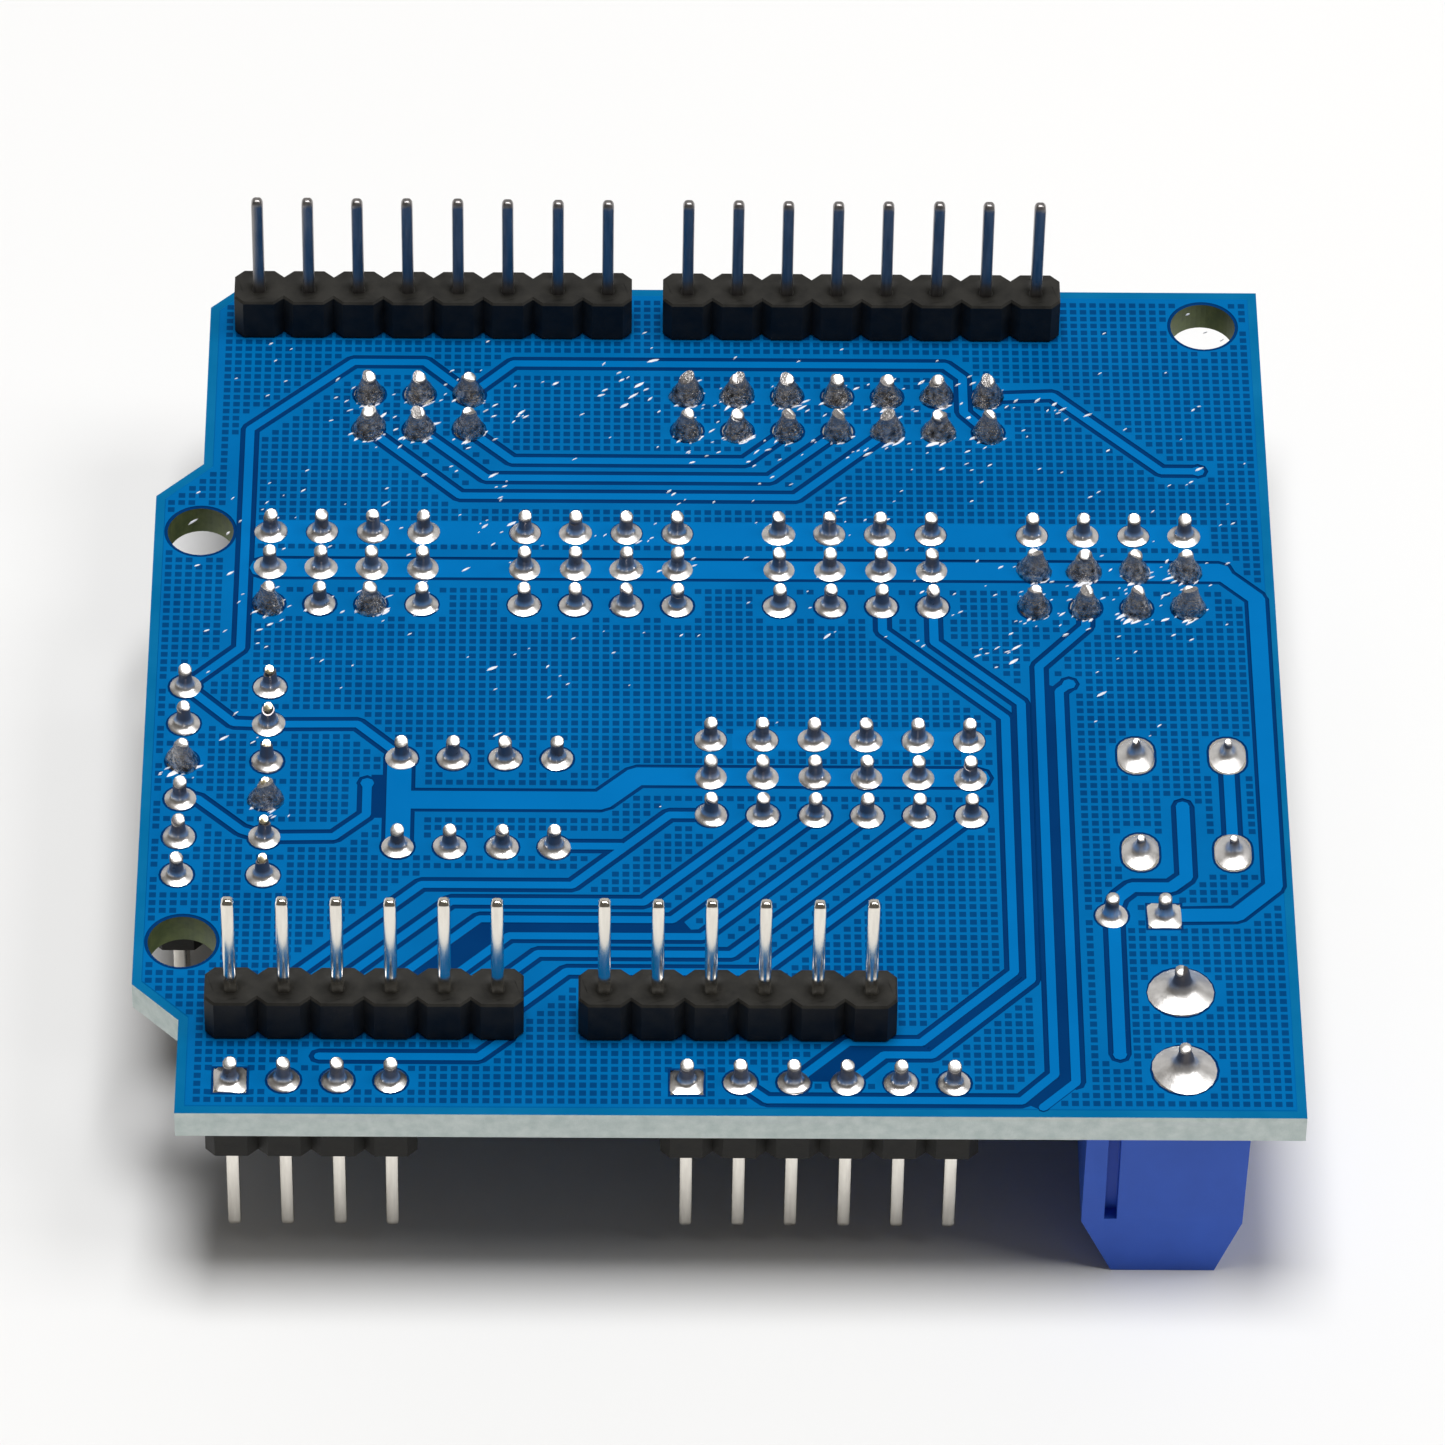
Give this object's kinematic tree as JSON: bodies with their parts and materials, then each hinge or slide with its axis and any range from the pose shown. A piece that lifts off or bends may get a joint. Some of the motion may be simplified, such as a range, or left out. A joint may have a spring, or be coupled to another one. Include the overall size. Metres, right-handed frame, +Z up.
{
  "type": "servo driver board",
  "caption": "Servo and sensor expansion board with stacking pins, three-row servo headers, screw terminal, reset key and supply jumper, solder side up.",
  "frame": {"origin": "middle of the board's footprint, on the plane that the top of the screw terminal rests on while the board lies component side down", "axes": "+Z up out of the solder side, the way the long host pins point; +X along the digital host row from its first pin towards the screw terminal's edge; +Y towards the board edge beside the digital row"},
  "size_m": [0.056, 0.0568, 0.0201],
  "materials": {
    "solder_mask": "satin blue solder mask over glass-fibre laminate",
    "header_plastic": "fine moulded black",
    "terminal_plastic": "smooth moulded violet-blue",
    "tinned_metal": "tin plated, warm silver",
    "plated_steel": "bright nickel plated",
    "contact_brass": "bright rolled",
    "switch_plastic": "satin black",
    "jumper_plastic": "satin black",
    "chip_ceramic": "glazed dark body",
    "lamp_resin": "clear resin"
  },
  "bodies": {
    "board": {"pcb": "solder_mask", "host_header_digital_low": "header_plastic", "host_header_digital_high": "header_plastic", "host_header_analog": "header_plastic", "host_header_power": "header_plastic", "display_serial_header": "header_plastic", "display_parallel_header": "header_plastic", "radio_header": "header_plastic", "bus_header": "header_plastic", "ranger_header": "header_plastic", "edge_header_short": "header_plastic", "edge_header_long": "header_plastic", "io_ground_1": "header_plastic", "io_ground_2": "header_plastic", "io_ground_3": "header_plastic", "io_ground_4": "header_plastic", "analog_ground": "header_plastic", "io_supply_1": "header_plastic", "io_supply_2": "header_plastic", "io_supply_3": "header_plastic", "io_supply_4": "header_plastic", "analog_supply": "header_plastic", "io_signal_1": "header_plastic", "io_signal_2": "header_plastic", "io_signal_3": "header_plastic", "io_signal_4": "header_plastic", "analog_signal": "header_plastic", "card_socket": "header_plastic", "terminal_housing": "terminal_plastic", "terminal_cage_1": "tinned_metal", "terminal_cage_2": "tinned_metal", "reset_base": "switch_plastic", "reset_lead_inner": "tinned_metal", "reset_lead_outer": "tinned_metal", "reset_dome": "plated_steel", "reset_cover": "plated_steel", "select_insulator": "header_plastic", "select_pin_1": "tinned_metal", "select_pin_2": "tinned_metal", "supply_led": "lamp_resin", "supply_resistor": "chip_ceramic"},
    "reset_plunger": {"reset_plunger": "switch_plastic"},
    "select_jumper": {"select_jumper_cap": "jumper_plastic", "select_jumper_clip": "contact_brass"},
    "wire_guard_1": {"wire_guard_1": "plated_steel"},
    "clamp_screw_1": {"clamp_screw_1": "plated_steel"},
    "wire_guard_2": {"wire_guard_2": "plated_steel"},
    "clamp_screw_2": {"clamp_screw_2": "plated_steel"}
  },
  "joints": [
    {"name": "reset_press", "type": "slide", "parent": "board", "child": "reset_plunger", "axis": [0, 0, 1], "range_m": [0, 0.00025], "stiffness_N_per_m": 4000, "springref_m": -0.0001},
    {"name": "jumper_pull", "type": "slide", "parent": "board", "child": "select_jumper", "axis": [0, 0, -1], "range_m": [0, 0.0065]},
    {"name": "wire_clamp_1", "type": "slide", "parent": "board", "child": "wire_guard_1", "axis": [0, 0, 1], "range_m": [0, 0.00169]},
    {"name": "screw_turn_1", "type": "hinge", "parent": "wire_guard_1", "child": "clamp_screw_1", "pos_m": [0.0215, -0.02537, 0.0021], "axis": [0, 0, 1], "range_deg": [0, 1350]},
    {"name": "wire_clamp_2", "type": "slide", "parent": "board", "child": "wire_guard_2", "axis": [0, 0, 1], "range_m": [0, 0.00169]},
    {"name": "screw_turn_2", "type": "hinge", "parent": "wire_guard_2", "child": "clamp_screw_2", "pos_m": [0.0215, -0.02037, 0.0021], "axis": [0, 0, 1], "range_deg": [0, 1350]}
  ],
  "couplings": [
    {"joint": "screw_turn_1", "follows": "wire_clamp_1", "rad_per_m": 13963},
    {"joint": "screw_turn_2", "follows": "wire_clamp_2", "rad_per_m": 13963}
  ]
}
